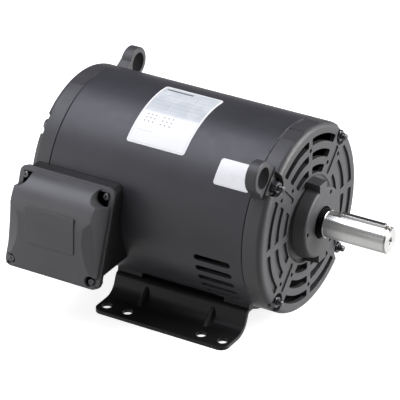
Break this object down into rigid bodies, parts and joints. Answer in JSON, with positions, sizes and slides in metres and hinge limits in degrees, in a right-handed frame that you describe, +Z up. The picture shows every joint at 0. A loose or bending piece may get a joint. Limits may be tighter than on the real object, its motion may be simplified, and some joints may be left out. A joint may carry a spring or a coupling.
{
  "type": "electric motor",
  "caption": "Foot-mounted open drip-proof electric motor with a keyed shaft, vented end shields, lifting eyes and a side terminal box.",
  "frame": {"origin": "centre of the foot-bolt pattern on the plane that the feet rest on", "axes": "+X along the shaft out of the drive end, +Z up, terminal box on the -Y side"},
  "size_m": [0.3815, 0.263, 0.2165],
  "materials": {
    "frame_paint": "satin",
    "base_paint": "satin",
    "shield_paint": "satin",
    "zinc_fastener": "satin",
    "baffle_plastic": "matte",
    "lamination": "satin",
    "winding": "gloss",
    "bearing_steel": "polished",
    "bearing_sheet": "satin",
    "spring_steel": "satin",
    "box_paint": "satin",
    "cover_plastic": "satin",
    "seal_rubber": "matte",
    "cover_screw_steel": "satin",
    "ground_brass": "satin",
    "plate_silver": "satin",
    "label_white": "matte",
    "machined_shaft": "satin",
    "cast_rotor": "satin"
  },
  "bodies": {
    "stator": {"frame_shell": "frame_paint", "foot_base": "base_paint", "base_welds": "base_paint", "drive_endshield": "shield_paint", "rear_endshield": "shield_paint", "through_bolts": "zinc_fastener", "bolt_nuts": "zinc_fastener", "lock_washers": "zinc_fastener", "drive_air_baffle": "baffle_plastic", "rear_air_baffle": "baffle_plastic", "stator_core": "lamination", "stator_winding": "winding", "drive_bearing_outer_ring": "bearing_steel", "rear_bearing_outer_ring": "bearing_steel", "drive_bearing_shields": "bearing_sheet", "rear_bearing_shields": "bearing_sheet", "preload_spring": "spring_steel", "terminal_box": "box_paint", "box_gasket": "seal_rubber", "cover_gasket": "seal_rubber", "terminal_cover": "cover_plastic", "cover_screws": "cover_screw_steel", "box_screws": "zinc_fastener", "ground_screw": "ground_brass", "lead_grommet": "seal_rubber", "nameplate": "plate_silver", "info_label": "label_white"},
    "rotor": {"shaft": "machined_shaft", "shaft_key": "machined_shaft", "rotor_core": "lamination", "rotor_cage": "cast_rotor", "drive_bearing_inner_ring": "bearing_steel", "rear_bearing_inner_ring": "bearing_steel", "bearing_snap_ring": "spring_steel", "shaft_slinger": "seal_rubber"},
    "drive_ball_cage": {"drive_bearing_balls": "bearing_steel", "drive_bearing_cage": "bearing_sheet"},
    "rear_ball_cage": {"rear_bearing_balls": "bearing_steel", "rear_bearing_cage": "bearing_sheet"}
  },
  "joints": [
    {"name": "rotor_spin", "type": "hinge", "parent": "stator", "child": "rotor", "pos_m": [0, 0, 0.1143], "axis": [1, 0, 0], "continuous": true},
    {"name": "drive_cage_spin", "type": "hinge", "parent": "stator", "child": "drive_ball_cage", "pos_m": [0.1195, 0, 0.1143], "axis": [1, 0, 0], "continuous": true},
    {"name": "rear_cage_spin", "type": "hinge", "parent": "stator", "child": "rear_ball_cage", "pos_m": [-0.1575, 0, 0.1143], "axis": [1, 0, 0], "continuous": true}
  ],
  "couplings": [
    {"joint": "drive_cage_spin", "follows": "rotor_spin", "ratio": 0.3965},
    {"joint": "rear_cage_spin", "follows": "rotor_spin", "ratio": 0.3969}
  ]
}
